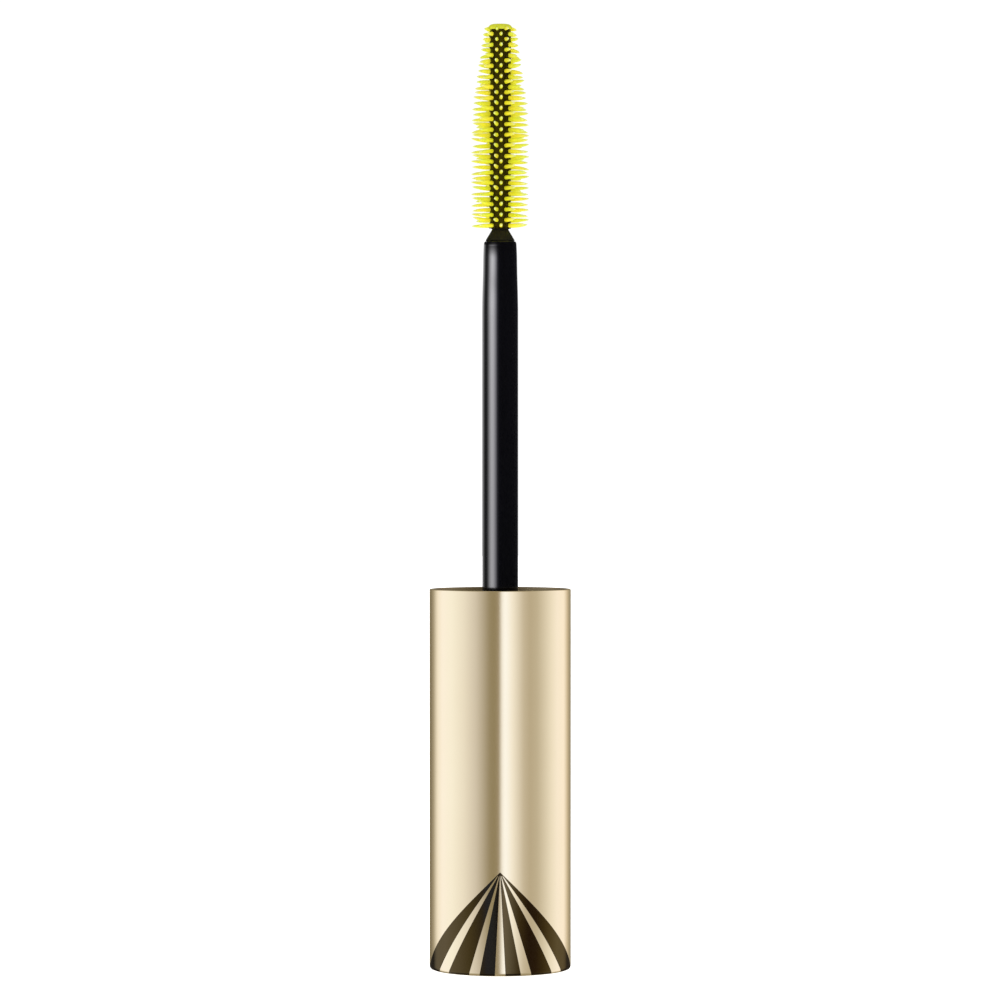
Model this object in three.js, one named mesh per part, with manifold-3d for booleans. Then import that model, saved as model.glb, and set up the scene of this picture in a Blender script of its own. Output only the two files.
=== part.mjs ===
// A mascara wand standing on the closed end of its cap: the metal cap with its weight and inner cap, the rod
// that snaps into the inner cap, and the two-material moulded brush on the rod's end.
// Millimetres, +Z up. The origin is the centre of the cap's closed end. The printed rays face -Y, and every
// azimuth is measured from -Y towards +X.
import * as THREE from "three";
import { mergeVertices } from "three/addons/utils/BufferGeometryUtils.js";
import Module from "manifold-3d";

const wasm = await Module();
wasm.setup();

// Driving dimensions.
const FIT = 0.05; // clearance between pieces that seat on each other
const CAP = { radius: 8.5, height: 45.66, wall: 0.5, floor: 0.6, edge: 0.5, lip: 0.12, sides: 72 };
const WEIGHT = { height: 6, chamfer: 0.4, sides: 48 };
const LINER = {
  recess: 5, // how far the inner cap's mouth lies below the cap's rim
  disc: 1.2,
  socketFloor: 3.2,
  socketHeight: 18.4,
  socketWall: 1.35,
  partition: 1.2,
  sleeveBore: 6.4,
  sleeveWall: 0.9,
  collar: 1,
  fins: 6,
  finThickness: 0.9,
  chamfer: 0.3,
  sides: 36,
};
const THREAD = { bead: 0.7, bite: 0.1, pitch: 3, turns: 1.5, start: 2.1, steps: 40, sides: 6 };
const GASKET = { height: 1, sides: 36 };
const ROD = {
  radius: 2.165,
  endRadius: 2.04,
  top: 87.35,
  taperStart: 79.8,
  taperEnd: 84.8,
  shoulder: 0.25,
  leadIn: 0.6,
  flange: 0.8,
  boreRadius: 1.05,
  boreDepth: 8,
  sides: 32,
};
const SNAP = { height: 6, depth: 0.22, half: 0.3, slope: 0.3, clearance: 0.2 };
const CORE = {
  radius: 1.28,
  bore: 0.98,
  tail: 1,
  tailChamfer: 0.3,
  coneBase: 1.74,
  neck: 0.97,
  coneHeight: 1.4,
  shoulder: 0.15,
  top: 112.55,
  sides: 14,
};
const BRISTLE = {
  columns: 14,
  firstAzimuth: 5,
  rows: 19,
  pitch: 1.274,
  firstRow: 89.24,
  start: 0.75, // radius inside the spine at which a bristle begins
  root: 0.46,
  slot: 0.5,
};
const DOME = { radius: 1.38, height: 0.8, edge: 0.45 };
const PRINT = { apex: 12.39, bottom: 0.52, tip: 0.45, lift: 0.03, thickness: 0.04, cell: 1.3 };

// The rays' straight edges, in degrees either side of vertical on the unrolled cap: dark from the first to the
// second, from the third to the fourth and from the fifth to the sixth.
const RAY_EDGES = [2.95, 11.55, 17.5, 29.35, 35.7, 45.5];

// How far the bristles reach from the axis, as [height, radius].
const BRUSH_OUTLINE = [
  [88.7, 3.42],
  [92.5, 3.5],
  [99.5, 3.5],
  [103.6, 3.38],
  [109, 2.55],
  [111.7, 2.17],
  [113.4, 1.9],
];

// Levels that several pieces share.
const capBore = CAP.radius - CAP.wall;
const weightBase = CAP.floor + FIT;
const linerBase = weightBase + WEIGHT.height + FIT;
const linerTop = CAP.height - LINER.recess;
const linerRadius = capBore - 2 * FIT;
const partitionBase = linerBase + LINER.socketFloor + LINER.socketHeight;
const sleeveBase = partitionBase + LINER.partition;
const socketBore = ROD.radius + 1.5 * FIT;
const rodBase = linerBase + LINER.socketFloor + 4 * FIT;
const flangeTop = sleeveBase + FIT + ROD.flange;
const flangeRadius = LINER.sleeveBore - 4 * FIT;
const coreBase = ROD.top - ROD.boreDepth + 4 * FIT;
const coneTop = ROD.top + FIT + CORE.coneHeight;
const carrierBase = coneTop + CORE.shoulder;
const snapMiddle = rodBase + SNAP.height;

const degrees = THREE.MathUtils.degToRad;

// Points of an arc about (r, z), between two angles in degrees.
function arc(r, z, radius, from, to, steps = 2) {
  return Array.from({ length: steps + 1 }, (_, i) => {
    const angle = degrees(from + ((to - from) * i) / steps);
    return [r + radius * Math.cos(angle), z + radius * Math.sin(angle)];
  });
}

// An outline of [radius, height] points turned about the Z axis, with its first side starting at an azimuth.
function turned(outline, sides, azimuth = 0) {
  const points = outline.map(([r, z]) => new THREE.Vector2(r, z));
  return new THREE.LatheGeometry(points, sides, degrees(azimuth)).rotateX(Math.PI / 2);
}

// Turns a shape that was made around +Z to point outwards at an azimuth and a height.
function outwards(geometry, azimuth, height) {
  return geometry.rotateX(Math.PI / 2).rotateZ(degrees(azimuth)).translate(0, 0, height);
}

function toSolid(geometry) {
  geometry.deleteAttribute("normal");
  geometry.deleteAttribute("uv");
  const merged = mergeVertices(geometry, 1e-4);
  return new wasm.Manifold(
    new wasm.Mesh({
      numProp: 3,
      vertProperties: merged.attributes.position.array,
      triVerts: new Uint32Array(merged.index.array),
    }),
  );
}

function toGeometry(solid) {
  const mesh = solid.getMesh();
  const geometry = new THREE.BufferGeometry();
  geometry.setAttribute("position", new THREE.BufferAttribute(mesh.vertProperties, 3));
  geometry.setIndex(new THREE.BufferAttribute(mesh.triVerts, 1));
  return geometry.toNonIndexed();
}

function joined(geometries) {
  return geometries.map(toSolid).reduce((whole, piece) => whole.add(piece));
}

// The drawn cap: closed and flat at the bottom, open at the top.
function capShell() {
  const { radius, height, floor, edge, lip, sides } = CAP;
  const outline = [
    [0, 0],
    ...arc(radius - edge, edge, edge, -90, 0),
    ...arc(radius - lip, height - lip, lip, 0, 90),
    ...arc(capBore + lip, height - lip, lip, 90, 180),
    ...arc(capBore - edge, floor + edge, edge, 0, -90),
    [0, floor],
  ];
  return turned(outline, sides);
}

// The weight pressed into the closed end of the cap.
function capWeight() {
  const { height, chamfer, sides } = WEIGHT;
  const radius = capBore - 4 * FIT;
  const top = weightBase + height;
  const outline = [
    [0, weightBase],
    [radius - chamfer, weightBase],
    [radius, weightBase + chamfer],
    [radius, top - chamfer],
    [radius - chamfer, top],
    [0, top],
  ];
  return turned(outline, sides);
}

// The helix that the neck thread's bead follows.
class Helix extends THREE.Curve {
  constructor(radius, pitch, turns, base) {
    super();
    Object.assign(this, { radius, pitch, turns, base });
  }

  getPoint(t, target = new THREE.Vector3()) {
    const angle = 2 * Math.PI * this.turns * t;
    const height = this.base + this.pitch * this.turns * t;
    return target.set(this.radius * Math.cos(angle), this.radius * Math.sin(angle), height);
  }
}

function threadBead() {
  const { bead, bite, pitch, turns, start, steps, sides } = THREAD;
  const section = new THREE.Shape().absarc(0, 0, bead, 0, 2 * Math.PI);
  const extrudePath = new Helix(LINER.sleeveBore + bite, pitch, turns, flangeTop + GASKET.height + start);
  return new THREE.ExtrudeGeometry(section, { extrudePath, steps, curveSegments: sides });
}

// One rib from the socket tube to the cap's wall.
function fin(azimuth) {
  const inner = socketBore + LINER.socketWall / 2;
  const height = LINER.socketFloor + LINER.socketHeight;
  return new THREE.BoxGeometry(LINER.finThickness, linerRadius - inner, height)
    .translate(0, -(linerRadius + inner) / 2, linerBase + height / 2)
    .rotateZ(degrees(azimuth));
}

// A ring that stands out of a wall of this radius at the rod's snap, listed upwards.
function snapRing(wall, half) {
  return [
    [wall, snapMiddle - half - SNAP.slope],
    [wall + SNAP.depth, snapMiddle - half],
    [wall + SNAP.depth, snapMiddle + half],
    [wall, snapMiddle + half + SNAP.slope],
  ];
}

// The inner cap: end disc, rod socket with its fins, partition, and the sleeve with the neck thread.
function innerCap() {
  const { disc, socketFloor, socketWall, sleeveBore, sleeveWall, collar, fins, chamfer, sides } = LINER;
  const socketOuter = socketBore + socketWall;
  const outline = [
    [0, linerBase],
    [linerRadius, linerBase],
    [linerRadius, linerBase + disc],
    [socketOuter, linerBase + disc],
    [socketOuter, partitionBase],
    [linerRadius, partitionBase],
    [linerRadius, sleeveBase],
    [sleeveBore + sleeveWall, sleeveBase],
    [sleeveBore + sleeveWall, linerTop - collar],
    [linerRadius, linerTop - collar],
    [linerRadius, linerTop],
    [sleeveBore + chamfer, linerTop],
    [sleeveBore, linerTop - chamfer],
    [sleeveBore, sleeveBase],
    [socketBore, sleeveBase],
    ...snapRing(socketBore, SNAP.half + SNAP.clearance).reverse(),
    [socketBore, linerBase + socketFloor],
    [0, linerBase + socketFloor],
  ];
  const finSlots = Array.from({ length: fins }, (_, i) => fin((i * 360) / fins));
  return toGeometry(joined([turned(outline, sides), threadBead(), ...finSlots]));
}

// The washer on the rod's flange, which the bottle's rim seals against.
function sealingGasket() {
  const base = flangeTop + FIT;
  const top = base + GASKET.height;
  const inner = ROD.radius + 2 * FIT;
  const outline = [
    [inner, base],
    [flangeRadius, base],
    [flangeRadius, top],
    [inner, top],
    [inner, base],
  ];
  return turned(outline, GASKET.sides);
}

// The rod: snap end and flange in the inner cap, then the stem, which necks in round the bore for the brush's tail.
function rod() {
  const { radius, endRadius, top, taperStart, taperEnd, shoulder, leadIn, boreRadius, boreDepth, sides } = ROD;
  const outline = [
    [0, rodBase],
    [radius - leadIn, rodBase],
    [radius, rodBase + leadIn],
    ...snapRing(radius, SNAP.half),
    [radius, sleeveBase + FIT],
    [flangeRadius, sleeveBase + FIT],
    [flangeRadius, flangeTop],
    [radius, flangeTop],
    [radius, taperStart],
    [endRadius, taperEnd],
    ...arc(endRadius - shoulder, top - shoulder, shoulder, 0, 90, 3),
    [boreRadius, top],
    [boreRadius, top - boreDepth],
    [0, top - boreDepth],
  ];
  return turned(outline, sides);
}

// Every bristle's azimuth and height: columns round the brush, every second one half a pitch higher.
function bristlePlaces() {
  const places = [];
  for (let column = 0; column < BRISTLE.columns; column += 1) {
    const azimuth = BRISTLE.firstAzimuth + (column * 360) / BRISTLE.columns;
    const base = BRISTLE.firstRow + (column % 2) * (BRISTLE.pitch / 2);
    for (let row = 0; row < BRISTLE.rows; row += 1) {
      places.push({ azimuth, height: base + row * BRISTLE.pitch });
    }
  }
  return places;
}

// How far a bristle at this height reaches from the axis.
function reach(height) {
  const next = BRUSH_OUTLINE.findIndex(([level]) => level >= height);
  const [lowLevel, lowRadius] = BRUSH_OUTLINE[next - 1];
  const [highLevel, highRadius] = BRUSH_OUTLINE[next];
  return THREE.MathUtils.mapLinear(height, lowLevel, highLevel, lowRadius, highRadius);
}

// The black half of the brush: tail, neck cone and the hollow carrier with a slot for each bristle.
function brushCore() {
  const { radius, bore, tail, tailChamfer, coneBase, neck, top, sides } = CORE;
  const halfSide = 180 / sides;
  const outline = [
    [0, coreBase],
    [tail - tailChamfer, coreBase],
    [tail, coreBase + tailChamfer],
    [tail, ROD.top + FIT],
    [coneBase, ROD.top + FIT],
    [neck, coneTop],
    [radius, carrierBase],
    [radius, top],
    [bore, top],
    [bore, carrierBase],
    [0, carrierBase],
  ];
  const slots = bristlePlaces().map(({ azimuth, height }) => {
    const slot = new THREE.BoxGeometry(BRISTLE.slot, BRISTLE.slot, radius).translate(0, 0, radius);
    return toSolid(outwards(slot, azimuth, height));
  });
  const carrier = toSolid(turned(outline, sides, BRISTLE.firstAzimuth + halfSide));
  return toGeometry(slots.reduce((whole, slot) => whole.subtract(slot), carrier));
}

// The yellow half of the brush: the spine in the carrier, the bristles through its slots and the end dome.
function bristles() {
  const { radius, height, edge } = DOME;
  const spine = CORE.bore - FIT;
  const base = carrierBase + FIT;
  const domeBase = CORE.top + FIT;
  const domeTop = domeBase + height;
  const outline = [
    [0, base],
    [spine, base],
    [spine, domeBase],
    [radius, domeBase],
    ...arc(radius - edge, domeTop - edge, edge, 0, 90, 3),
    [0, domeTop],
  ];
  const spikes = bristlePlaces().map(({ azimuth, height: level }) => {
    const length = reach(level) - BRISTLE.start;
    const spike = turned([[0, 0], [BRISTLE.root / Math.SQRT2, 0], [0, length]], 4, 45);
    return outwards(spike.translate(0, 0, BRISTLE.start), azimuth, level);
  });
  const body = turned(outline, CORE.sides, BRISTLE.firstAzimuth + 180 / CORE.sides);
  return toGeometry(joined([body, ...spikes]));
}

// The fan's lines, from its left edge to its right: each line's slope away from vertical, and whether the strip
// that it starts is dark. Strips are cut narrow enough to bend round the cap.
function fanLines(length) {
  const edges = [...RAY_EDGES.map((edge) => -edge).reverse(), ...RAY_EDGES];
  const slopes = edges.map((edge) => Math.tan(degrees(edge)));
  const lines = slopes.slice(0, -1).flatMap((slope, i) => {
    const width = slopes[i + 1] - slope;
    const cuts = Math.ceil((width * length) / PRINT.cell);
    return Array.from({ length: cuts }, (_, k) => ({ slope: slope + (width * k) / cuts, dark: i % 2 === 0 }));
  });
  return [...lines, { slope: slopes.at(-1), dark: false }];
}

// The fan of dark rays, one thin skin round the cap that is joined at the fan's tip.
function rayPrint() {
  const { apex, bottom, tip, lift, thickness, cell } = PRINT;
  const length = apex - bottom;
  const lines = fanLines(length);
  const steps = Math.ceil((length - tip) / cell);
  const depths = [0, ...Array.from({ length: steps + 1 }, (_, k) => tip + ((length - tip) * k) / steps)];
  const filled = (i, j) => Boolean(lines[i + 1] && depths[j + 1] && i >= 0 && j >= 0 && (j === 0 || lines[i].dark));
  const point = (i, j, radius) => {
    const angle = (depths[j] * lines[i].slope) / CAP.radius;
    return [radius * Math.sin(angle), -radius * Math.cos(angle), apex - depths[j]];
  };
  const inner = CAP.radius + lift;
  const outer = inner + thickness;
  const corners = [];
  const quad = (a, b, c, d) => corners.push(...a, ...b, ...c, ...a, ...c, ...d);
  const wall = (i, j, k, l) => quad(point(i, j, outer), point(i, j, inner), point(k, l, inner), point(k, l, outer));
  for (let i = 0; i < lines.length - 1; i += 1) {
    for (let j = 0; j < depths.length - 1; j += 1) {
      if (!filled(i, j)) continue;
      // Each cell starts at the corner whose diagonal runs closer to vertical, where it bends least round the cap.
      const around = [[i, j], [i, j + 1], [i + 1, j + 1], [i + 1, j]];
      if (lines[i].slope > 0) around.push(around.shift());
      quad(...around.map(([k, l]) => point(k, l, outer)));
      around.push(...around.splice(1).reverse());
      quad(...around.map(([k, l]) => point(k, l, inner)));
      if (!filled(i - 1, j)) wall(i, j, i, j + 1);
      if (!filled(i + 1, j)) wall(i + 1, j + 1, i + 1, j);
      if (!filled(i, j + 1)) wall(i, j + 1, i + 1, j + 1);
    }
  }
  return new THREE.BufferGeometry().setAttribute("position", new THREE.Float32BufferAttribute(corners, 3));
}

function piece(name, geometry, color, roughness, metalness) {
  geometry.computeVertexNormals();
  const material = new THREE.MeshStandardMaterial({ color, roughness, metalness });
  const mesh = new THREE.Mesh(geometry, material);
  mesh.name = name;
  return mesh;
}

const wand = new THREE.Group();
wand.add(
  piece("cap_shell", capShell(), 0xd9c49a, 0.25, 1),
  piece("ray_print", rayPrint(), 0x1c1a18, 0.2, 0),
  piece("cap_weight", capWeight(), 0x8a8c8e, 0.5, 1),
  piece("inner_cap", innerCap(), 0x1b1a19, 0.5, 0),
  piece("sealing_gasket", sealingGasket(), 0xe8e6e0, 0.8, 0),
  piece("rod", rod(), 0x0b0b0c, 0.15, 0),
  piece("brush_core", brushCore(), 0x16130f, 0.4, 0),
  piece("bristles", bristles(), 0xe6e250, 0.5, 0),
);

export default wand;
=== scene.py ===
"""The looks of a mascara wand that stands on the closed end of its cap.

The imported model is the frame: every level comes from its boxes, in metres, +Z up. The cap's printed rays face
-Y, and every azimuth is measured from -Y towards +X, in degrees.
"""

import math
import random

import bmesh
import bpy
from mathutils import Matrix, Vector


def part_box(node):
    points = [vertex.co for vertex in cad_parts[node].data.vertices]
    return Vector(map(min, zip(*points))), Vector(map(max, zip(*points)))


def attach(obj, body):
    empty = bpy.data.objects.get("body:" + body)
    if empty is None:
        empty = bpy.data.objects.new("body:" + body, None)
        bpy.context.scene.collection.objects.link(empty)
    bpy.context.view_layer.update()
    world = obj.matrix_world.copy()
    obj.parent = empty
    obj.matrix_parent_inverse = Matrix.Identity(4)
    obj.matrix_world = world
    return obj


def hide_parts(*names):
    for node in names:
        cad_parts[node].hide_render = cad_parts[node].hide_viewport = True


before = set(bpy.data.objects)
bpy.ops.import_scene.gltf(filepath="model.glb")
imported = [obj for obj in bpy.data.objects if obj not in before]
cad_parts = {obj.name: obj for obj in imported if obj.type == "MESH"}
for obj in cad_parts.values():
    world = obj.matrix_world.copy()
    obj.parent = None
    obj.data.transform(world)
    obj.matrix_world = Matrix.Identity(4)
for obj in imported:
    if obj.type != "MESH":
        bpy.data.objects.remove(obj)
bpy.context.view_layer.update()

MM = 0.001

# The view: the camera stands this far in front of the wand's axis and looks very slightly down.
CAMERA_DISTANCE = 520 * MM
CAMERA_HEIGHT = 62.5 * MM
CAMERA_LENS = 155.86  # millimetres, on a 36 mm sensor
CAMERA_SIDE = -0.024 * MM  # a hair to the left of the axis
MIDDLE_HEIGHT = 56.335 * MM  # what the middle of the picture shows

# Levels and radii of the frame.
CAP_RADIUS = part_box("cap_shell")[1].x
CAP_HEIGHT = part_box("cap_shell")[1].z
LINER_BASE, LINER_TOP = (corner.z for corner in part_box("inner_cap"))
LINER_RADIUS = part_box("inner_cap")[1].y
GASKET_BASE, GASKET_TOP = (corner.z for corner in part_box("sealing_gasket"))
GASKET_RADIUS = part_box("sealing_gasket")[1].y
ROD_BASE, ROD_TOP = (corner.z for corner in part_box("rod"))
CORE_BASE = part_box("brush_core")[0].z
BRUSH_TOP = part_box("bristles")[1].z
DOME_HEIGHT = 0.63 * MM
DOME_BASE = BRUSH_TOP - DOME_HEIGHT
DOME_RADIUS = 1.46 * MM
DOME_EDGE = 0.56 * MM
PRINT_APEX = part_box("ray_print")[1].z

# Sizes inside those boxes.
CAP_WALL = 0.5 * MM
CAP_FLOOR = 0.6 * MM
CAP_EDGE = 0.5 * MM
CAP_LIP = 0.12 * MM
SLEEVE_BORE = 6.4 * MM
SLEEVE_WALL = 0.9 * MM
SOCKET_BORE = 2.24 * MM
SOCKET_WALL = 1.35 * MM
SOCKET_FLOOR = 3.2 * MM
DISC = 1.2 * MM
THREAD_PITCH = 3 * MM
THREAD_DEPTH = 0.6 * MM
THREAD_TURNS = 1.5
THREAD_START = GASKET_TOP + 2.1 * MM
THREAD_HALF = 0.72 * MM  # half the width of its foot
FIN_THICKNESS = 0.9 * MM
ROD_RADIUS = 2.165 * MM
ROD_END_RADIUS = 2.04 * MM
ROD_FLANGE = 0.8 * MM
ROD_BORE = 1.05 * MM
CORE_RADIUS = 1.26 * MM
CONE_RADIUS = 1.74 * MM
CONE_HEIGHT = 1.4 * MM
NECK_HEIGHT = 0.3 * MM
NECK_RADIUS = 0.97 * MM
TAIL_RADIUS = 1.0 * MM

# The bristles' places, as in the frame: every second column is half a pitch higher.
COLUMNS = 14
ROWS = 19
FIRST_AZIMUTH = 5
ROW_PITCH = 1.274 * MM
FIRST_ROW = 89.24 * MM
BRISTLE_START = 0.9 * MM  # distance from the axis, inside the carrier
BRISTLE_ROOT = 0.20 * MM  # half its width
BRISTLE_DEPTH = 1.25  # how much deeper than wide it is, along the brush
BRISTLE_TIP = 0.03 * MM  # half its width
UPPER_ROWS = 99.5 * MM  # above here the side bristles are a little deeper still

# How the bristles bend: each a little at random, and some neighbours' tips pull together in pairs.
BEND = 0.05 * MM
SIDE_BEND = 0.035 * MM
PAIRED = 0.4  # how many are in pairs, as a share
PULL = 0.26 * MM
FRONT_PULL = 0.08 * MM
FRONT_AIM = 0.45  # the front columns point at this much of their azimuth
FRONT = math.radians(25)

# How far the bristles reach from the axis, as (height, radius).
BRUSH_OUTLINE = [
    (88.7 * MM, 3.42 * MM),
    (92.5 * MM, 3.50 * MM),
    (99.5 * MM, 3.50 * MM),
    (103.6 * MM, 3.38 * MM),
    (109.0 * MM, 2.55 * MM),
    (111.7 * MM, 2.17 * MM),
    (113.4 * MM, 1.90 * MM),
]

# The printed rays' edges, in degrees either side of vertical on the unrolled cap, dark first.
RAY_EDGES = [2.95, 11.55, 17.5, 29.35, 35.7, 45.5]
RAY_TIP = 0.45 * MM
INK_LIFT = 0.01 * MM
INK_THICKNESS = 0.02 * MM
INK_CELL = 0.3 * MM  # the size of its mesh's faces

random.seed(11)


# ---------------------------------------------------------------- shapes


def arc(r, z, radius, start, end, steps=6):
    """Points of an arc about (r, z), between two angles in degrees."""
    angles = [math.radians(start + (end - start) * i / steps) for i in range(steps + 1)]
    return [(r + radius * math.cos(a), z + radius * math.sin(a)) for a in angles]


def around(radius, azimuth, z):
    """The point at a radius from the axis, at an azimuth in radians."""
    return (radius * math.sin(azimuth), -radius * math.cos(azimuth), z)


def turned(outline, sides, closed=False, push=None):
    """Vertices and faces of an outline of (radius, height) points turned about the axis.

    push gives the radius of a point from its azimuth, radius and height."""
    vertices, rows, faces = [], [], []
    for radius, z in outline:
        first = len(vertices)
        if radius < 1e-9:
            vertices.append((0, 0, z))
            rows.append([first] * sides)
            continue
        for k in range(sides):
            azimuth = 2 * math.pi * k / sides
            r = push(azimuth, radius, z) if push else radius
            vertices.append(around(r, azimuth, z))
        rows.append(list(range(first, first + sides)))
    pairs = list(zip(rows, rows[1:] + ([rows[0]] if closed else [])))
    for low, high in pairs:
        for k in range(sides):
            n = (k + 1) % sides
            face = list(dict.fromkeys([low[k], low[n], high[n], high[k]]))
            if len(face) > 2:
                faces.append(face)
    return vertices, faces


def joined(*shapes):
    """One shape from several (vertices, faces) pairs."""
    vertices, faces = [], []
    for more_vertices, more_faces in shapes:
        shift = len(vertices)
        vertices.extend(more_vertices)
        faces.extend([[i + shift for i in face] for face in more_faces])
    return vertices, faces


def piece(name, shape, material, node, sharp=35):
    """An object that stands for a node of the frame, smooth except at edges sharper than an angle."""
    mesh = bpy.data.meshes.new(name)
    mesh.from_pydata(shape[0], [], shape[1])
    made = bmesh.new()
    made.from_mesh(mesh)
    for face in made.faces:
        face.smooth = True
    for edge in made.edges:
        edge.smooth = edge.is_manifold and edge.calc_face_angle() < math.radians(sharp)
    made.to_mesh(mesh)
    made.free()
    mesh.materials.append(material)
    made_object = bpy.data.objects.new(name, mesh)
    bpy.context.scene.collection.objects.link(made_object)
    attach(made_object, "root")
    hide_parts(node)
    return made_object


def attribute(made_object, name, values):
    """Stores one number per vertex, for the material to read."""
    made = made_object.data.attributes.new(name, "FLOAT", "POINT")
    made.data.foreach_set("value", values)


# ---------------------------------------------------------------- materials


def material(name, **values):
    """A material with one Principled shader, whose plain values are given by socket name."""
    made = bpy.data.materials.new(name)
    made.use_nodes = True
    shader = made.node_tree.nodes["Principled BSDF"]
    for socket, value in values.items():
        shader.inputs[socket.replace("_", " ")].default_value = value
    return made, made.node_tree, shader


def node(tree, kind, inputs=None, **settings):
    """A node with its settings, and its inputs linked or set by name or number."""
    made = tree.nodes.new(kind)
    for key, value in settings.items():
        setattr(made, key, value)
    for key, value in (inputs or {}).items():
        if isinstance(value, bpy.types.NodeSocket):
            tree.links.new(value, made.inputs[key])
        else:
            made.inputs[key].default_value = value
    return made


def object_point(tree, scale=(1, 1, 1)):
    """Object coordinates, scaled."""
    point = node(tree, "ShaderNodeTexCoord").outputs["Object"]
    return node(tree, "ShaderNodeMapping", {"Vector": point, "Scale": scale}).outputs[0]


def noise(tree, point, scale, detail=2.0, roughness=0.5):
    inputs = {"Vector": point, "Scale": scale, "Detail": detail, "Roughness": roughness}
    return node(tree, "ShaderNodeTexNoise", inputs).outputs["Fac"]


def ramp(tree, value, stops, interpolation="LINEAR"):
    """A colour ramp of (position, colour) stops, where a colour may be a plain number."""
    made = node(tree, "ShaderNodeValToRGB", {"Fac": value})
    made.color_ramp.interpolation = interpolation
    elements = made.color_ramp.elements
    while len(elements) < len(stops):
        elements.new(0.5)
    for element, (position, colour) in zip(elements, stops):
        element.position = position
        element.color = (*((colour,) * 3 if isinstance(colour, (int, float)) else colour), 1)
    return made.outputs["Color"]


def mixed(tree, share, first, second, blend="MIX"):
    """Two colours mixed by a share of the second."""
    inputs = {"Factor": share, 6: first, 7: second}
    return node(tree, "ShaderNodeMix", inputs, data_type="RGBA", blend_type=blend).outputs[2]


def span(tree, value, low, high):
    """A value from 0 to 1 mapped to low to high."""
    return node(tree, "ShaderNodeMapRange", {"Value": value, "To Min": low, "To Max": high}).outputs[0]


def span_of(tree, value, low, high):
    """A value from low to high mapped to 0 to 1."""
    return node(tree, "ShaderNodeMapRange", {"Value": value, "From Min": low, "From Max": high}).outputs[0]


def bump(tree, shader, height, strength, distance):
    inputs = {"Height": height, "Strength": strength, "Distance": distance}
    tree.links.new(node(tree, "ShaderNodeBump", inputs).outputs[0], shader.inputs["Normal"])


def gold_material():
    """Satin anodised aluminium: a faint grain, spun rings on the closed end, and a duller bore, whose gold is
    painted dark brown as painted shade inside the cap.
    """
    made, tree, shader = material("gold_anodised", Metallic=1.0)
    point = object_point(tree)
    cloud = noise(tree, point, 90.0, 3.0)
    grain = noise(tree, point, 9000.0, 2.0)
    from_axis = node(tree, "ShaderNodeVectorMath", {0: object_point(tree, (1, 1, 0))}, operation="LENGTH")
    height = node(tree, "ShaderNodeSeparateXYZ", {0: point}).outputs["Z"]
    in_bore = span_of(tree, from_axis.outputs["Value"], CAP_RADIUS - 0.3 * MM, CAP_RADIUS - 0.42 * MM)
    above_floor = span_of(tree, height, 0.3 * MM, 0.4 * MM)
    bore = node(tree, "ShaderNodeMath", {0: in_bore, 1: above_floor}, operation="MULTIPLY").outputs[0]
    gold = ramp(tree, cloud, [(0.3, (0.925, 0.780, 0.520)), (0.7, (0.940, 0.800, 0.540))])
    # Inside the bore the gold is painted dark brown: painted shade, where the wall lies in the cap's shade.
    bore_painted_shade = ramp(tree, cloud, [(0.3, (0.26, 0.20, 0.11)), (0.7, (0.32, 0.25, 0.14))])
    tree.links.new(mixed(tree, bore, gold, bore_painted_shade), shader.inputs["Base Color"])
    satin = span(tree, grain, 0.11, 0.16)
    rough = node(tree, "ShaderNodeMath", {0: bore, 1: 0.22, 2: satin}, operation="MULTIPLY_ADD").outputs[0]
    tree.links.new(rough, shader.inputs["Roughness"])
    rings_of = {"Vector": point, "Scale": 2200.0, "Distortion": 0.3, "Detail": 1.0}
    rings = node(tree, "ShaderNodeTexWave", rings_of, wave_type="RINGS", rings_direction="Z").outputs["Fac"]
    below = span_of(tree, height, 0.06 * MM, 0.02 * MM)
    spun = node(tree, "ShaderNodeMath", {0: rings, 1: below, 2: grain}, operation="MULTIPLY_ADD").outputs[0]
    bump(tree, shader, spun, 0.08, 0.00001)
    return made


def ink_material():
    """Glossy dark ink over the gold, which tints what it reflects."""
    made, tree, shader = material("dark_ink", Metallic=1.0)
    cloud = noise(tree, object_point(tree), 300.0)
    grain = noise(tree, object_point(tree), 7000.0, 2.0)
    ink = ramp(tree, cloud, [(0.3, (0.116, 0.092, 0.058)), (0.7, (0.124, 0.098, 0.062))])
    tree.links.new(ink, shader.inputs["Base Color"])
    tree.links.new(span(tree, grain, 0.11, 0.17), shader.inputs["Roughness"])
    bump(tree, shader, grain, 0.1, 0.00001)
    return made


def rod_material():
    """High-gloss black plastic with the faint unevenness of a moulded stem."""
    made, tree, shader = material("rod_plastic", IOR=1.5)
    streaks = noise(tree, object_point(tree, (1, 1, 0.08)), 900.0, 3.0)
    black = ramp(tree, streaks, [(0.3, (0.0006, 0.0006, 0.0010)), (0.7, (0.0010, 0.0009, 0.0016))])
    tree.links.new(black, shader.inputs["Base Color"])
    tree.links.new(span(tree, streaks, 0.06, 0.11), shader.inputs["Roughness"])
    bump(tree, shader, streaks, 0.05, 0.00003)
    return made


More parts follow.
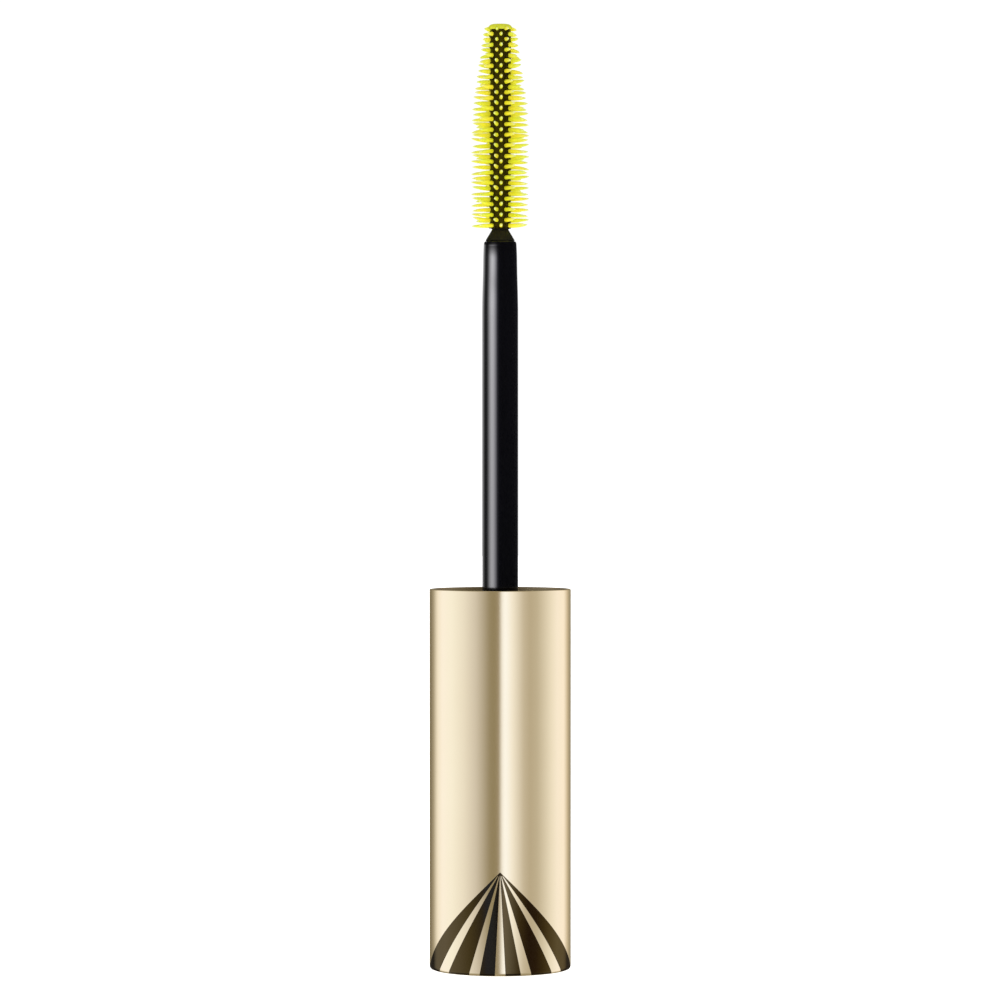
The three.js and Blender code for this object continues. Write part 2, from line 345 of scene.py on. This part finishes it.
def core_material():
    """Black moulded plastic: satin and warm between the bristles, duller and greener on the neck cone. Its
    reflections are tinted yellow, a painted reflection of the light the yellow bristles throw onto it, and the
    neck cone is painted darker, as painted shade.
    """
    # The yellow specular tint is a painted reflection: the yellow light bounced from the bristles onto the
    # core.
    made, tree, shader = material("core_plastic", IOR=1.49, Specular_Tint=(1.0, 0.9, 0.1, 1))
    grain = noise(tree, object_point(tree), 6000.0, 3.0)
    height = node(tree, "ShaderNodeSeparateXYZ", {0: object_point(tree)}).outputs["Z"]
    on_cone = span_of(tree, height, ROD_TOP + CONE_HEIGHT + 0.2 * MM, ROD_TOP + CONE_HEIGHT)
    warm = ramp(tree, grain, [(0.3, (0.0090, 0.0062, 0.0002)), (0.7, (0.0155, 0.0112, 0.0004))])
    # The neck cone's darker base is painted shade.
    green = ramp(tree, grain, [(0.3, (0.0004, 0.0012, 0.0066)), (0.7, (0.0020, 0.0036, 0.0110))])
    tree.links.new(mixed(tree, on_cone, warm, green), shader.inputs["Base Color"])
    satin = span(tree, grain, 0.22, 0.34)
    rough = node(tree, "ShaderNodeMath", {0: on_cone, 1: 0.4, 2: satin}, operation="MULTIPLY_ADD").outputs[0]
    tree.links.new(rough, shader.inputs["Roughness"])
    bump(tree, shader, grain, 0.15, 0.00002)
    return made


def bristle_material():
    """Yellow elastomer: deeper at the roots, paler and clearer at the fine tips. Just outside the core its
    yellow is painted lighter, as painted light against the shade among the bristles there.
    """
    made, tree, shader = material("bristle_elastomer", IOR=1.43)
    along = node(tree, "ShaderNodeAttribute", attribute_name="along").outputs["Fac"]
    tint = node(tree, "ShaderNodeAttribute", attribute_name="tint").outputs["Fac"]
    # From 0.12 to 0.5 of the length the yellow is painted lighter: painted light against the shade near the
    # core.
    shades = [
        (0.0, (0.62, 0.56, 0.02)),
        (0.12, (0.86, 0.76, 0.03)),
        (0.5, (0.82, 0.75, 0.04)),
        (0.8, (0.69, 0.66, 0.09)),
        (1.0, (0.57, 0.58, 0.30)),
    ]
    body = ramp(tree, along, shades)
    green = ramp(tree, tint, [(0.0, (0.86, 0.98, 0.80)), (1.0, (1.0, 0.97, 1.0))])
    tree.links.new(mixed(tree, 1.0, body, green, "MULTIPLY"), shader.inputs["Base Color"])
    grain = noise(tree, object_point(tree), 12000.0, 2.0)
    tree.links.new(span(tree, grain, 0.38, 0.55), shader.inputs["Roughness"])
    shader.inputs["Subsurface Weight"].default_value = 0.5
    shader.inputs["Subsurface Radius"].default_value = (1.0, 0.9, 0.25)
    shader.inputs["Subsurface Scale"].default_value = 0.0004
    bump(tree, shader, grain, 0.1, 0.00001)
    return made


def liner_material():
    """Black moulded polypropylene with a fine spark-eroded texture."""
    made, tree, shader = material("inner_plastic", IOR=1.49)
    grain = noise(tree, object_point(tree), 5000.0, 4.0)
    dark = ramp(tree, grain, [(0.3, (0.010, 0.009, 0.008)), (0.7, (0.018, 0.016, 0.014))])
    tree.links.new(dark, shader.inputs["Base Color"])
    tree.links.new(span(tree, grain, 0.32, 0.5), shader.inputs["Roughness"])
    bump(tree, shader, grain, 0.25, 0.00002)
    return made


def gasket_material():
    """Off-white closed-cell foam with fine open pores on its cut faces."""
    made, tree, shader = material("gasket_foam")
    pores = {"Vector": object_point(tree), "Scale": 5200.0}
    cells = node(tree, "ShaderNodeTexVoronoi", pores).outputs["Distance"]
    foam = ramp(tree, cells, [(0.1, (0.60, 0.58, 0.53)), (0.45, (0.80, 0.79, 0.74))])
    tree.links.new(foam, shader.inputs["Base Color"])
    tree.links.new(span(tree, cells, 0.9, 0.7), shader.inputs["Roughness"])
    bump(tree, shader, cells, 0.5, 0.00005)
    return made


def steel_material():
    """Turned steel: rings round the axis."""
    made, tree, shader = material("weight_steel", Metallic=1.0)
    rings = node(
        tree,
        "ShaderNodeTexWave",
        {"Vector": object_point(tree), "Scale": 900.0, "Distortion": 0.4, "Detail": 2.0},
        wave_type="RINGS",
        rings_direction="Z",
    ).outputs["Fac"]
    steel = ramp(tree, rings, [(0.0, (0.38, 0.38, 0.39)), (1.0, (0.50, 0.50, 0.51))])
    tree.links.new(steel, shader.inputs["Base Color"])
    tree.links.new(span(tree, rings, 0.28, 0.4), shader.inputs["Roughness"])
    bump(tree, shader, rings, 0.2, 0.00002)
    return made


# ---------------------------------------------------------------- the cap


def make_cap_shell():
    """The drawn cap, with a rolled bottom edge and a rounded rim."""
    bore = CAP_RADIUS - CAP_WALL
    outline = [
        (0, 0),
        (0.5 * CAP_RADIUS, 0),
        *arc(CAP_RADIUS - CAP_EDGE, CAP_EDGE, CAP_EDGE, -90, 0),
        *[(CAP_RADIUS, CAP_EDGE + (CAP_HEIGHT - CAP_EDGE - CAP_LIP) * i / 12) for i in range(1, 12)],
        *arc(CAP_RADIUS - CAP_LIP, CAP_HEIGHT - CAP_LIP, CAP_LIP, 0, 90),
        *arc(bore + CAP_LIP, CAP_HEIGHT - CAP_LIP, CAP_LIP, 90, 180),
        *arc(bore - CAP_EDGE, CAP_FLOOR + CAP_EDGE, CAP_EDGE, 0, -90),
        (0, CAP_FLOOR),
    ]
    return piece("cap_shell_fine", turned(outline, 256), gold_material(), "cap_shell")


def fan_lines(length):
    """The fan's lines from left to right, each as its slope and whether the strip that it starts is dark."""
    edges = [-edge for edge in reversed(RAY_EDGES)] + RAY_EDGES
    slopes = [math.tan(math.radians(edge)) for edge in edges]
    lines = []
    for i, (slope, following) in enumerate(zip(slopes, slopes[1:])):
        cuts = math.ceil((following - slope) * length / INK_CELL)
        lines += [(slope + (following - slope) * k / cuts, i % 2 == 0) for k in range(cuts)]
    return lines + [(slopes[-1], False)]


def make_ray_print():
    """The fan of dark rays, one thin layer of ink round the cap's front and over its rolled bottom edge."""
    upright = PRINT_APEX - CAP_EDGE
    rolled = math.radians(50)
    lines = fan_lines(upright)
    steps = math.ceil((upright - RAY_TIP) / INK_CELL)
    depths = [0] + [RAY_TIP + (upright - RAY_TIP) * k / steps for k in range(steps + 1)]
    depths += [upright + CAP_EDGE * rolled * k / 4 for k in range(1, 5)]

    def filled(i, j):
        inside = 0 <= i < len(lines) - 1 and 0 <= j < len(depths) - 1
        return inside and (j == 0 or lines[i][1])

    vertices, places, faces = [], {}, []

    def corner(i, j, layer):
        key = (i if j else 0, j, layer)
        if key not in places:
            places[key] = len(vertices)
            lift = INK_LIFT + layer * INK_THICKNESS
            angle = max(0, depths[j] - upright) / CAP_EDGE
            drop = min(depths[j], upright) + (CAP_EDGE + lift) * math.sin(angle)
            radius = CAP_RADIUS - CAP_EDGE + (CAP_EDGE + lift) * math.cos(angle)
            vertices.append(around(radius, depths[j] * lines[i][0] / CAP_RADIUS, PRINT_APEX - drop))
        return places[key]

    def add(*corners):
        face = list(dict.fromkeys(corner(*c) for c in corners))
        if len(face) > 2:
            faces.append(face)

    for i in range(len(lines) - 1):
        for j in range(len(depths) - 1):
            if not filled(i, j):
                continue
            add((i, j, 1), (i, j + 1, 1), (i + 1, j + 1, 1), (i + 1, j, 1))
            add((i, j, 0), (i + 1, j, 0), (i + 1, j + 1, 0), (i, j + 1, 0))
            if not filled(i - 1, j):
                add((i, j, 1), (i, j, 0), (i, j + 1, 0), (i, j + 1, 1))
            if not filled(i + 1, j):
                add((i + 1, j + 1, 1), (i + 1, j + 1, 0), (i + 1, j, 0), (i + 1, j, 1))
            if not filled(i, j + 1):
                add((i, j + 1, 1), (i, j + 1, 0), (i + 1, j + 1, 0), (i + 1, j + 1, 1))
    return piece("ray_print_fine", (vertices, faces), ink_material(), "ray_print", 25)


def thread_push(azimuth, radius, z):
    """The radius of the sleeve's bore, with the neck thread standing in from it."""
    if abs(radius - SLEEVE_BORE) > 0.01 * MM or z < GASKET_TOP:
        return radius
    turned_so_far = (z - THREAD_START) / THREAD_PITCH
    passes = [turn + azimuth / (2 * math.pi) for turn in range(-1, 3)]
    away, turn = min((abs(turned_so_far - turn) * THREAD_PITCH, turn) for turn in passes)
    fade = min(1, max(0, min(turn, THREAD_TURNS - turn) * 8))
    height = min(1, max(0, (THREAD_HALF - away) / (THREAD_HALF / 2)))
    return radius - THREAD_DEPTH * fade * height * height * (3 - 2 * height)


def fin_box(azimuth, low, high):
    """One of the fins that centre the rod's socket in the cap, as a closed box."""
    a = math.radians(azimuth)
    inner, outer, half = SOCKET_BORE + SOCKET_WALL / 2, LINER_RADIUS, FIN_THICKNESS / 2
    cos, sin = math.cos(a), math.sin(a)
    corners = [(x, -y) for x, y in ((-half, inner), (half, inner), (half, outer), (-half, outer))]
    vertices = [(x * cos - y * sin, x * sin + y * cos, z) for z in (low, high) for x, y in corners]
    faces = [[0, 1, 2, 3], [7, 6, 5, 4], [0, 4, 5, 1], [1, 5, 6, 2], [2, 6, 7, 3], [3, 7, 4, 0]]
    return vertices, faces


def make_inner_cap():
    """The moulded inner cap: end disc, finned socket, partition, and a threaded sleeve facing the mouth."""
    sleeve_base = GASKET_BASE - ROD_FLANGE - 0.1 * MM
    partition_base = sleeve_base - DISC
    collar, chamfer, step = 1 * MM, 0.3 * MM, 0.11 * MM
    rows = int((LINER_TOP - chamfer - sleeve_base) / step)
    socket_outer = SOCKET_BORE + SOCKET_WALL
    outline = [
        (0, LINER_BASE),
        (LINER_RADIUS, LINER_BASE),
        (LINER_RADIUS, LINER_BASE + DISC),
        (socket_outer, LINER_BASE + DISC),
        (socket_outer, partition_base),
        (LINER_RADIUS, partition_base),
        (LINER_RADIUS, sleeve_base),
        (SLEEVE_BORE + SLEEVE_WALL, sleeve_base),
        (SLEEVE_BORE + SLEEVE_WALL, LINER_TOP - collar),
        (LINER_RADIUS, LINER_TOP - collar),
        *arc(LINER_RADIUS - chamfer / 2, LINER_TOP - chamfer / 2, chamfer / 2, 0, 90, 3),
        *arc(SLEEVE_BORE + chamfer, LINER_TOP - chamfer, chamfer, 90, 180, 5)[:-1],
        *[(SLEEVE_BORE, LINER_TOP - chamfer - i * step) for i in range(rows)],
        (SLEEVE_BORE, sleeve_base),
        (SOCKET_BORE, sleeve_base),
        (SOCKET_BORE, LINER_BASE + SOCKET_FLOOR),
        (0, LINER_BASE + SOCKET_FLOOR),
    ]
    fins = [fin_box(60 * k, LINER_BASE, partition_base + DISC / 2) for k in range(6)]
    shape = joined(turned(outline, 144, push=thread_push), *fins)
    return piece("inner_cap_fine", shape, liner_material(), "inner_cap", 40)


def make_gasket():
    """The foam washer, with soft edges."""
    inner, soft = ROD_RADIUS + 0.1 * MM, 0.15 * MM
    outline = [
        *arc(GASKET_RADIUS - soft, GASKET_BASE + soft, soft, -90, 0, 4),
        *arc(GASKET_RADIUS - soft, GASKET_TOP - soft, soft, 0, 90, 4),
        *arc(inner + soft, GASKET_TOP - soft, soft, 90, 180, 4),
        *arc(inner + soft, GASKET_BASE + soft, soft, 180, 270, 4),
    ]
    shape = turned(outline, 96, closed=True)
    return piece("sealing_gasket_fine", shape, gasket_material(), "sealing_gasket", 50)


# ---------------------------------------------------------------- rod and brush


def make_rod():
    """The rod: snap end and flange inside the inner cap, the stem, and its rounded, slightly tapered end."""
    snap, snap_depth = ROD_BASE + 6 * MM, 0.22 * MM
    flange_top = GASKET_BASE - 0.05 * MM
    bore_floor = ROD_TOP - 8 * MM
    outline = [
        (0, ROD_BASE),
        (ROD_RADIUS - 0.6 * MM, ROD_BASE),
        (ROD_RADIUS, ROD_BASE + 0.6 * MM),
        (ROD_RADIUS, snap - 0.6 * MM),
        (ROD_RADIUS + snap_depth, snap - 0.3 * MM),
        (ROD_RADIUS + snap_depth, snap + 0.3 * MM),
        (ROD_RADIUS, snap + 0.6 * MM),
        (ROD_RADIUS, flange_top - ROD_FLANGE),
        (GASKET_RADIUS, flange_top - ROD_FLANGE),
        (GASKET_RADIUS, flange_top),
        (ROD_RADIUS, flange_top),
        *[(ROD_RADIUS, flange_top + (ROD_TOP - 9 * MM - flange_top) * i / 10) for i in range(1, 11)],
        *rod_end(),
        (ROD_BORE, ROD_TOP),
        (ROD_BORE, bore_floor),
        (0, bore_floor),
    ]
    return piece("rod_fine", turned(outline, 128), rod_material(), "rod", 30)


def rod_end():
    """The stem's last stretch: it necks in, leans in a little more and ends in a round shoulder."""
    start, end, shoulder = ROD_TOP - 8.1 * MM, ROD_TOP - 2.2 * MM, ROD_TOP - 0.5 * MM
    lean, depth, steps = 0.06 * MM, 0.19 * MM, 10
    points = []
    for i in range(steps + 1):
        share = i / steps - 0.4 * math.sin(2 * math.pi * i / steps) / (2 * math.pi)
        points.append((ROD_RADIUS + (ROD_END_RADIUS - ROD_RADIUS) * share, start + (end - start) * i / steps))
    for i in range(1, steps):
        share = i / steps
        radius = ROD_END_RADIUS - lean * (share + 2 * share * share) / 3
        points.append((radius, end + (shoulder - end) * share))
    for i in range(steps + 1):
        angle = math.pi / 2 * i / steps
        radius = ROD_END_RADIUS - lean - depth * (1 - math.cos(angle))
        points.append((radius, shoulder + (ROD_TOP - shoulder) * math.sin(angle)))
    return points


def make_brush_core():
    """The black carrier: tail, neck cone, round core and a low collar round each bristle."""
    cone_base = ROD_TOP + 0.05 * MM
    cone_top = cone_base + CONE_HEIGHT
    carrier_base = cone_top + NECK_HEIGHT
    outline = [
        (0, CORE_BASE),
        (TAIL_RADIUS - 0.3 * MM, CORE_BASE),
        (TAIL_RADIUS, CORE_BASE + 0.3 * MM),
        (TAIL_RADIUS, cone_base),
        (CONE_RADIUS - 0.05 * MM, cone_base),
        *arc(CONE_RADIUS - 0.08 * MM, cone_base + 0.08 * MM, 0.08 * MM, -60, 30, 4),
        (NECK_RADIUS + 0.05 * MM, cone_top - 0.08 * MM),
        (NECK_RADIUS, cone_top),
        (NECK_RADIUS + 0.05 * MM, cone_top + 0.04 * MM),
        (CORE_RADIUS, carrier_base),
        *[(CORE_RADIUS, carrier_base + (DOME_BASE - carrier_base) * i / 24) for i in range(1, 24)],
        (CORE_RADIUS, DOME_BASE),
        (0, DOME_BASE),
    ]
    last = DOME_BASE - 0.4 * MM
    collars = [collar(azimuth, z) for azimuth, heights in bristle_columns() for z in heights if z < last]
    shape = joined(turned(outline, 96), *collars)
    return piece("brush_core_fine", shape, core_material(), "brush_core", 40)


def collar(azimuth, z, sides=14):
    """A low rounded collar on the core, round the root of one bristle."""
    profile = [(0.36, -0.04), (0.33, 0.03), (0.27, 0.045), (0.20, 0.03)]
    vertices = []
    for radius, rise in profile:
        for k in range(sides):
            a = 2 * math.pi * k / sides
            side, up = radius * MM * math.cos(a), radius * MM * math.sin(a)
            vertices.append(around(CORE_RADIUS + rise * MM, azimuth + side / CORE_RADIUS, z + up))
    faces = []
    for ring in range(len(profile) - 1):
        for k in range(sides):
            n = (k + 1) % sides
            a, b = ring * sides, (ring + 1) * sides
            faces.append([a + k, a + n, b + n, b + k])
    faces.append([k for k in reversed(range(sides))])
    faces.append([(len(profile) - 1) * sides + k for k in range(sides)])
    return vertices, faces


def bristle_columns():
    """Every column of bristles, as its azimuth in radians and the heights of its bristles."""
    columns = []
    for column in range(COLUMNS):
        base = FIRST_ROW + (column % 2) * ROW_PITCH / 2
        azimuth = math.radians(FIRST_AZIMUTH + column * 360 / COLUMNS)
        columns.append((azimuth, [base + row * ROW_PITCH for row in range(ROWS)]))
    return columns


def reach(z):
    """How far a bristle at this height reaches from the axis."""
    for (low, low_radius), (high, high_radius) in zip(BRUSH_OUTLINE, BRUSH_OUTLINE[1:]):
        if z <= high:
            return low_radius + (high_radius - low_radius) * (z - low) / (high - low)
    return BRUSH_OUTLINE[-1][1]


def aim(azimuth):
    """Which way a column's bristles point: outwards, but the front ones more nearly straight ahead."""
    turn = math.remainder(azimuth, 2 * math.pi)
    return turn * (FRONT_AIM if abs(turn) < FRONT else 1)


def column_rises(azimuth):
    """How far each bristle of a column bends up or down at its tip. Some neighbours' tips meet in pairs."""
    rises = [random.gauss(0, BEND) for _ in range(ROWS)]
    most = FRONT_PULL if math.cos(azimuth) > 0.8 else PULL
    row = 0
    while row < ROWS - 1:
        paired = random.random() < PAIRED
        if paired:
            pull = random.uniform(0.4, 1) * most
            rises[row] += pull
            rises[row + 1] -= pull
        row += 2 if paired else 1
    return rises


def bristle(azimuth, z, rise, sides=10, rings=10):
    """One bristle, stout, then fine and a little bent: its shape, and each vertex's share of its length."""
    length = reach(z) - BRISTLE_START
    lean = random.gauss(0, SIDE_BEND) * (3 if random.random() < 0.12 else 1)
    depth = BRISTLE_DEPTH * (1.1 if z > UPPER_ROWS and abs(math.sin(azimuth)) > 0.6 else 1)
    start = Vector(around(BRISTLE_START, azimuth, z))
    out = Vector(around(1, aim(azimuth), 0))
    side = Vector((math.cos(azimuth), math.sin(azimuth), 0))
    up = Vector((0, 0, 1))
    vertices, along, faces = [], [], []
    for ring in range(rings + 1):
        t = ring / rings
        half = BRISTLE_TIP + (BRISTLE_ROOT - BRISTLE_TIP) * (1 - t**2.4) ** 0.6
        centre = start + out * length * t + (side * lean + up * rise) * t * t
        for k in range(sides):
            a = 2 * math.pi * k / sides
            vertices.append(centre + (side * math.cos(a) + up * math.sin(a) * depth) * half)
            along.append(t)
    end = centre + out * BRISTLE_TIP
    vertices.append(end)
    along.append(1.0)
    for ring in range(rings):
        for k in range(sides):
            n = (k + 1) % sides
            a, b = ring * sides, (ring + 1) * sides
            faces.append([a + k, a + n, b + n, b + k])
    last = rings * sides
    faces += [[last + k, last + (k + 1) % sides, len(vertices) - 1] for k in range(sides)]
    faces.append([k for k in reversed(range(sides))])
    return (vertices, faces), along


def make_bristles():
    """The yellow moulding: spine and end dome in one, and the bristles."""
    dome_base = DOME_BASE + 0.01 * MM
    outline = [
        (0, FIRST_ROW),
        (BRISTLE_START, FIRST_ROW),
        (BRISTLE_START, dome_base),
        (DOME_RADIUS - 0.06 * MM, dome_base),
        *arc(DOME_RADIUS - DOME_EDGE, BRUSH_TOP - DOME_EDGE, DOME_EDGE, -10, 90, 10),
        (0.25 * MM, BRUSH_TOP),
        (0.12 * MM, BRUSH_TOP - 0.06 * MM),
        (0, BRUSH_TOP - 0.07 * MM),
    ]
    body = turned(outline, 64)
    shapes, along, tint = [body], [0.0] * len(body[0]), [0.0] * len(body[0])
    for azimuth, heights in bristle_columns():
        for z, rise in zip(heights, column_rises(azimuth)):
            shape, share = bristle(azimuth, z, rise)
            shapes.append(shape)
            along += share
            tint += [random.random()] * len(share)
    made = piece("bristles_fine", joined(*shapes), bristle_material(), "bristles", 50)
    attribute(made, "along", along)
    attribute(made, "tint", tint)
    return made


# ---------------------------------------------------------------- studio


def azimuth_share(tree):
    """Azimuth about the axis, from 0 at -180 degrees to 1 at 180."""
    point = node(tree, "ShaderNodeSeparateXYZ", {0: node(tree, "ShaderNodeTexCoord").outputs["Object"]})
    back = node(tree, "ShaderNodeMath", {0: point.outputs["Y"], 1: -1.0}, operation="MULTIPLY").outputs[0]
    angle = node(tree, "ShaderNodeMath", {0: point.outputs["X"], 1: back}, operation="ARCTAN2").outputs[0]
    return span_of(tree, angle, -math.pi, math.pi)


def tent(name, radius, horizon, poles, receivers, profile=((0.0, 1.0), (1.0, 1.0))):
    """A round light tent that only these pieces reflect.

    horizon is (azimuth, colour) stops, and poles are the colours straight down and straight up. profile is
    how the horizon's light changes with height, as (height, level) with heights from -1 to 1."""
    bpy.ops.mesh.primitive_uv_sphere_add(segments=96, ring_count=48, radius=radius)
    made = bpy.context.object
    made.name = name
    made.location.z = CAP_HEIGHT
    paint = bpy.data.materials.new(name)
    paint.use_nodes = True
    tree = paint.node_tree
    tree.nodes.clear()
    strength = max(max(colour) for _, colour in horizon)
    scaled = [(azimuth / 360 + 0.5, [part / strength for part in colour]) for azimuth, colour in horizon]
    point = node(tree, "ShaderNodeTexCoord").outputs["Object"]
    height = node(tree, "ShaderNodeSeparateXYZ", {0: point}).outputs["Z"]
    share = span_of(tree, height, -radius, radius)
    level = ramp(tree, share, [(z / 2 + 0.5, part) for z, part in profile])
    horizon_light = mixed(tree, 1.0, ramp(tree, azimuth_share(tree), scaled), level, "MULTIPLY")
    down, up = ([part / strength for part in colour] for colour in poles)
    pole = ramp(tree, share, [(0.1, down), (0.9, up)])
    near_pole = ramp(tree, share, [(0.08, 1.0), (0.22, 0.0), (0.78, 0.0), (0.92, 1.0)])
    light = mixed(tree, near_pole, horizon_light, pole)
    glow = node(tree, "ShaderNodeEmission", {"Color": light, "Strength": strength})
    clear = node(tree, "ShaderNodeBsdfTransparent")
    both = node(tree, "ShaderNodeAddShader", {0: glow.outputs[0], 1: clear.outputs[0]})
    node(tree, "ShaderNodeOutputMaterial", {"Surface": both.outputs[0]})
    paint.cycles.emission_sampling = "NONE"
    made.data.materials.append(paint)
    made.visible_camera = False
    made.visible_diffuse = False
    made.visible_transmission = False
    made.visible_volume_scatter = False
    made.visible_shadow = False
    group = bpy.data.collections.new(name + "_receivers")
    for receiver in receivers:
        group.objects.link(receiver)
    made.light_linking.receiver_collection = group


def make_world():
    """White all round: to the eye, and as soft light. Shiny pieces reflect the tents instead."""
    world = bpy.data.worlds.new("studio")
    bpy.context.scene.world = world
    world.use_nodes = True
    tree = world.node_tree
    tree.nodes.clear()
    path = node(tree, "ShaderNodeLightPath")
    level = node(tree, "ShaderNodeMath", {0: 1.05, 1: path.outputs["Is Glossy Ray"]}, operation="SUBTRACT")
    glow = node(tree, "ShaderNodeBackground", {"Color": (1, 1, 1, 1), "Strength": level.outputs[0]})
    node(tree, "ShaderNodeOutputWorld", {"Surface": glow.outputs[0]})


def make_floor():
    """A white light table."""
    bpy.ops.mesh.primitive_plane_add(size=4, location=(0, 0, -0.01 * MM))
    floor = bpy.context.object
    floor.name = "floor"
    paint = bpy.data.materials.new("floor_white")
    paint.use_nodes = True
    shader = paint.node_tree.nodes["Principled BSDF"]
    shader.inputs["Base Color"].default_value = (0.9, 0.9, 0.9, 1)
    shader.inputs["Roughness"].default_value = 0.9
    shader.inputs["Emission Color"].default_value = (1, 1, 1, 1)
    shader.inputs["Emission Strength"].default_value = 1.0
    floor.data.materials.append(paint)
    floor.visible_glossy = False


def make_camera():
    """A camera in front of the cap's printed side, aimed at the middle of the picture."""
    data = bpy.data.cameras.new("camera")
    data.lens = CAMERA_LENS
    data.sensor_width = 36
    data.clip_start = 0.01
    data.clip_end = 10
    camera = bpy.data.objects.new("camera", data)
    camera.location = (CAMERA_SIDE, -CAMERA_DISTANCE, CAMERA_HEIGHT)
    tilt = math.atan((CAMERA_HEIGHT - MIDDLE_HEIGHT) / CAMERA_DISTANCE)
    camera.rotation_euler = (math.pi / 2 - tilt, 0, 0)
    bpy.context.scene.collection.objects.link(camera)
    bpy.context.scene.camera = camera


# What the cap reflects: a broad softbox on each side, with a bright edge just right of the middle.
CAP_TENT = [
    (-180, (0.24, 0.21, 0.14)),
    (-152, (0.18, 0.15, 0.09)),
    (-138, (0.37, 0.34, 0.27)),
    (-122, (0.91, 0.91, 0.95)),
    (-108, (1.00, 1.04, 1.22)),
    (-85, (0.96, 1.02, 1.15)),
    (-62, (0.84, 0.87, 0.96)),
    (-40, (0.63, 0.63, 0.68)),
    (-17, (0.27, 0.24, 0.17)),
    (-10, (0.24, 0.21, 0.13)),
    (-2, (0.28, 0.24, 0.17)),
    (3, (0.95, 1.02, 1.23)),
    (8, (1.04, 1.16, 1.50)),
    (19, (0.93, 0.97, 1.10)),
    (38, (0.55, 0.53, 0.51)),
    (49, (0.46, 0.43, 0.38)),
    (62, (0.51, 0.49, 0.45)),
    (92, (0.85, 0.86, 0.91)),
    (106, (0.96, 0.97, 1.08)),
    (126, (1.00, 0.98, 1.03)),
    (141, (0.59, 0.52, 0.41)),
    (152, (0.32, 0.28, 0.20)),
    (180, (0.24, 0.21, 0.14)),
]

# What the ink reflects: the same softboxes, with more contrast and a cool shade left of the middle.
INK_TENT = [
    (-180, (0.02, 0.01, 0.00)),
    (-136, (0.02, 0.01, 0.00)),
    (-128, (0.48, 0.42, 0.29)),
    (-122, (0.67, 0.60, 0.43)),
    (-100, (0.83, 0.77, 0.62)),
    (-75, (0.65, 0.59, 0.41)),
    (-50, (0.39, 0.32, 0.13)),
    (-30, (0.17, 0.13, 0.07)),
    (-22, (0.10, 0.12, 0.21)),
    (-9, (0.09, 0.11, 0.16)),
    (-5, (0.01, 0.00, 0.00)),
    (1, (0.01, 0.00, 0.00)),
    (4, (1.14, 1.05, 0.92)),
    (13, (0.80, 0.77, 0.61)),
    (30, (0.27, 0.19, 0.05)),
    (46, (0.08, 0.03, 0.00)),
    (60, (0.12, 0.06, 0.01)),
    (72, (0.25, 0.17, 0.04)),
    (83, (0.43, 0.33, 0.12)),
    (105, (0.74, 0.64, 0.36)),
    (123, (0.58, 0.47, 0.24)),
    (130, (0.37, 0.28, 0.13)),
    (137, (0.04, 0.02, 0.00)),
    (180, (0.02, 0.01, 0.00)),
]

# What the rod reflects: one soft strip to the left, one narrow strip far behind it, and darkness elsewhere.
ROD_TENT = [
    (-180, (0.6, 0.6, 0.6)),
    (-150, (1.2, 1.2, 1.2)),
    (-132, (1.2, 1.2, 1.2)),
    (-118, (0.2, 0.2, 0.2)),
    (-98, (0.15, 0.15, 0.15)),
    (-85, (1.6, 1.6, 1.65)),
    (-70, (7.6, 7.5, 7.8)),
    (-57, (12.0, 11.9, 12.4)),
    (-44, (10.8, 10.7, 11.2)),
    (-30, (5.0, 4.9, 5.4)),
    (-18, (0.5, 0.5, 0.6)),
    (-6, (0.03, 0.03, 0.06)),
    (10, (0.01, 0.01, 0.02)),
    (150, (0.01, 0.01, 0.02)),
    (165, (1.0, 1.0, 1.0)),
    (180, (0.6, 0.6, 0.6)),
]

# The strip is brightest at the height of the rod's end, and fades out above it.
ROD_PROFILE = [
    (-0.02, 0.68),
    (0.05, 0.80),
    (0.105, 1.02),
    (0.143, 1.02),
    (0.158, 0.70),
    (0.187, 0.27),
    (0.210, 0.07),
    (0.400, 0.03),
    (0.700, 0.02),
]

# What the brush and the inner pieces reflect: a pale light from the front, dim at the sides.
SOFT_TENT = [
    (-180, (0.10, 0.09, 0.07)),
    (-65, (0.10, 0.09, 0.07)),
    (-38, (0.60, 0.53, 0.42)),
    (28, (0.60, 0.53, 0.42)),
    (55, (0.10, 0.09, 0.07)),
    (180, (0.10, 0.09, 0.07)),
]

make_camera()
make_floor()
make_world()

shell = make_cap_shell()
rays = make_ray_print()
inner_cap = make_inner_cap()
gasket = make_gasket()
rod = make_rod()
core = make_brush_core()
bristles = make_bristles()
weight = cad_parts["cap_weight"]
weight.data.materials.clear()
weight.data.materials.append(steel_material())

tent("cap_tent", 0.60, CAP_TENT, [(0.30, 0.27, 0.20), (0.30, 0.27, 0.20)], [shell])
tent("ink_tent", 0.62, INK_TENT, [(0.03, 0.02, 0.01), (0.30, 0.25, 0.18)], [rays])
tent("rod_tent", 0.64, ROD_TENT, [(0.1, 0.1, 0.1), (0.1, 0.1, 0.1)], [rod], ROD_PROFILE)
inside_cap = [inner_cap, gasket, weight]
tent("soft_tent", 0.66, SOFT_TENT, [(0.3, 0.3, 0.3), (0.08, 0.08, 0.06)], [*inside_cap, core, bristles])

settings = bpy.context.scene.view_settings
settings.view_transform = "Standard"
